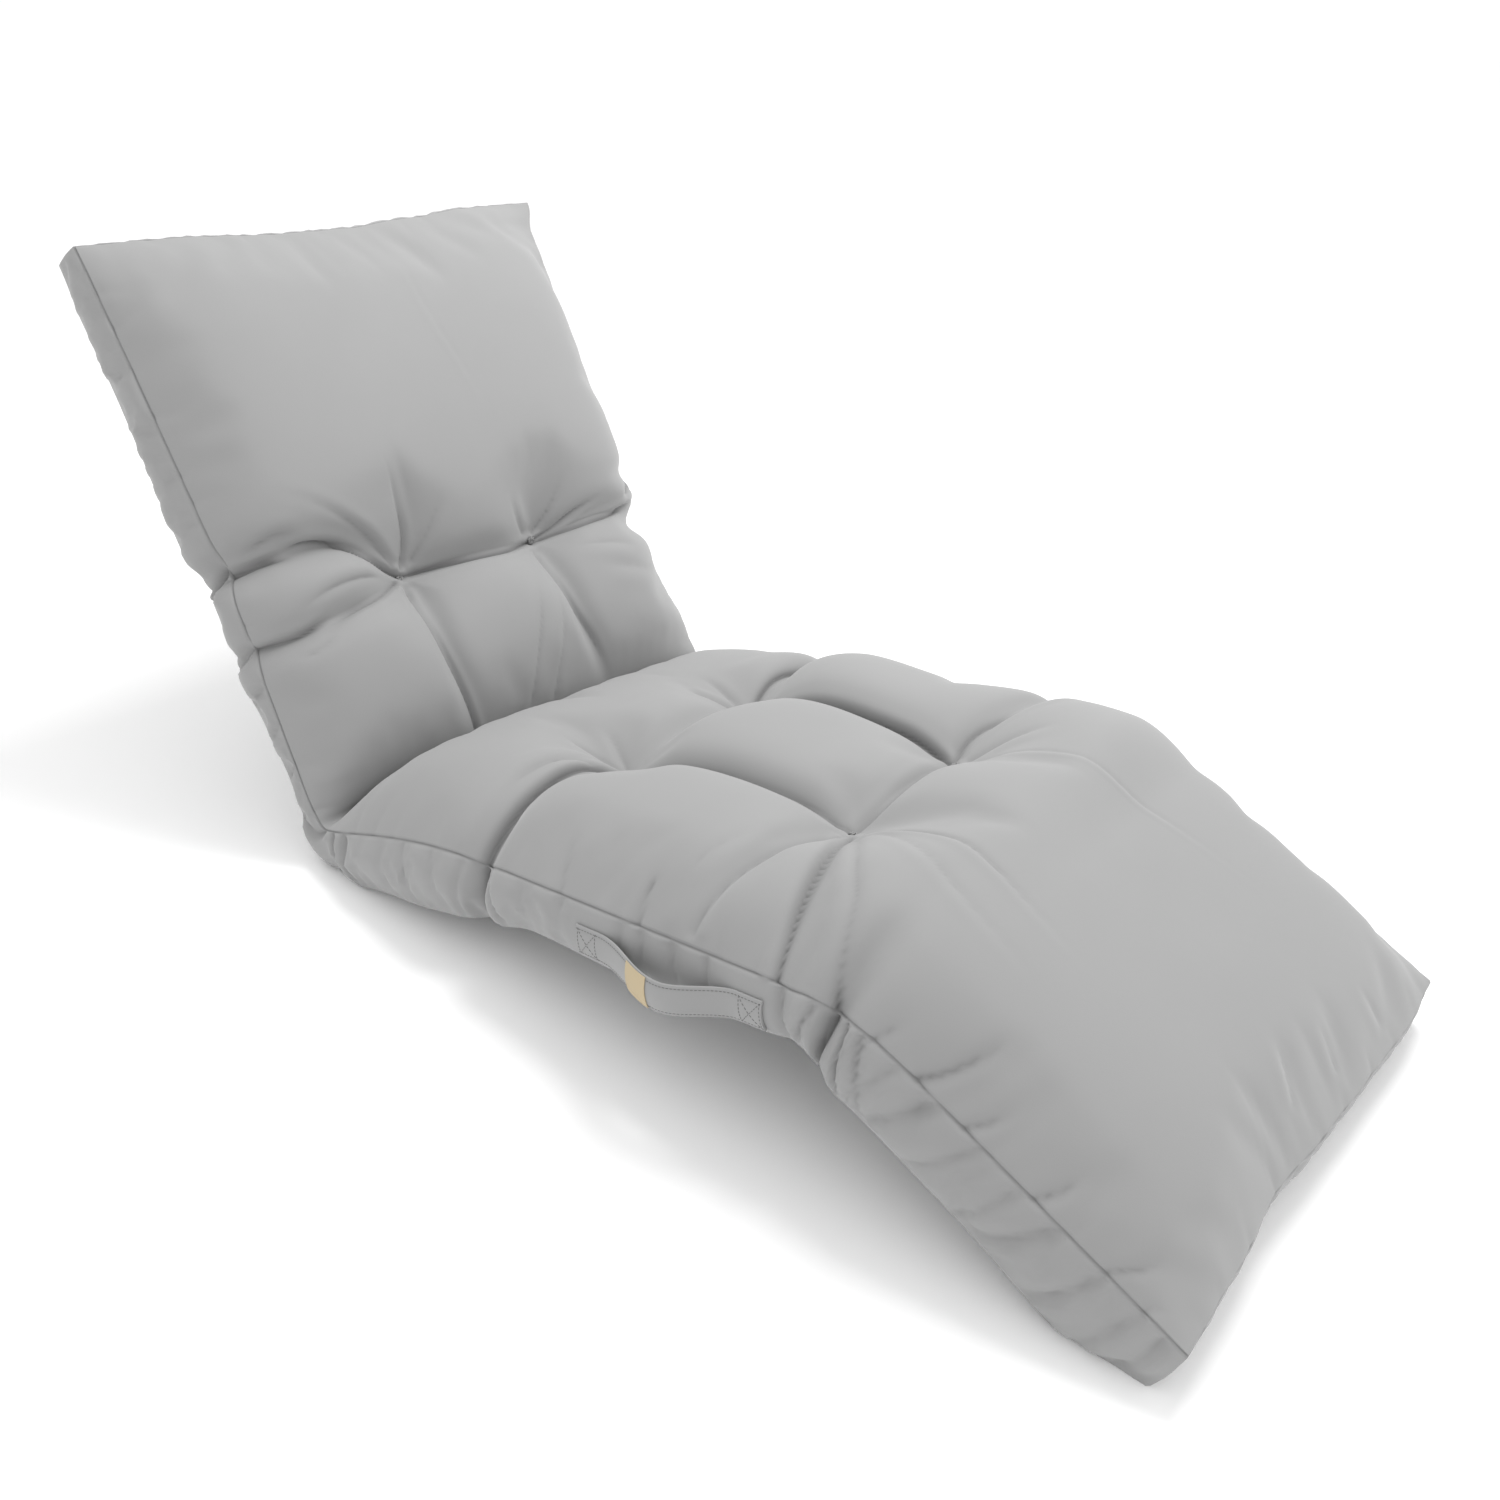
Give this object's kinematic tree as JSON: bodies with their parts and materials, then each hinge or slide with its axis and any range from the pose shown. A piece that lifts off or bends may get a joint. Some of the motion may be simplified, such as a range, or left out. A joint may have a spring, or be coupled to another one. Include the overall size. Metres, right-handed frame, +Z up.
{
  "type": "sun lounger cushion",
  "caption": "Tufted sun lounger cushion in its reclined shape, with raised back, hip fold, bent knee and a side carry handle.",
  "frame": {"origin": "middle of the footprint, handle included, on the surface that the cushion lies on", "axes": "+Z up, +Y towards the head end of the raised back, X across; the carry handle is on the -X side"},
  "size_m": [0.67, 1.3562, 0.5735],
  "materials": {
    "cover_fabric": "light grey plain-weave polyester, matt",
    "woven_label": "beige woven tape, bare",
    "thread": "grey polyester thread"
  },
  "bodies": {
    "root": {"cushion": "cover_fabric", "carry_handle": "cover_fabric", "handle_label": "woven_label", "tuft_knot_lumbar_left": "thread", "tuft_knot_lumbar_right": "thread", "tuft_knot_seat_left": "thread", "tuft_knot_seat_right": "thread", "tuft_knot_thigh_left": "thread", "tuft_knot_thigh_right": "thread"}
  },
  "joints": []
}
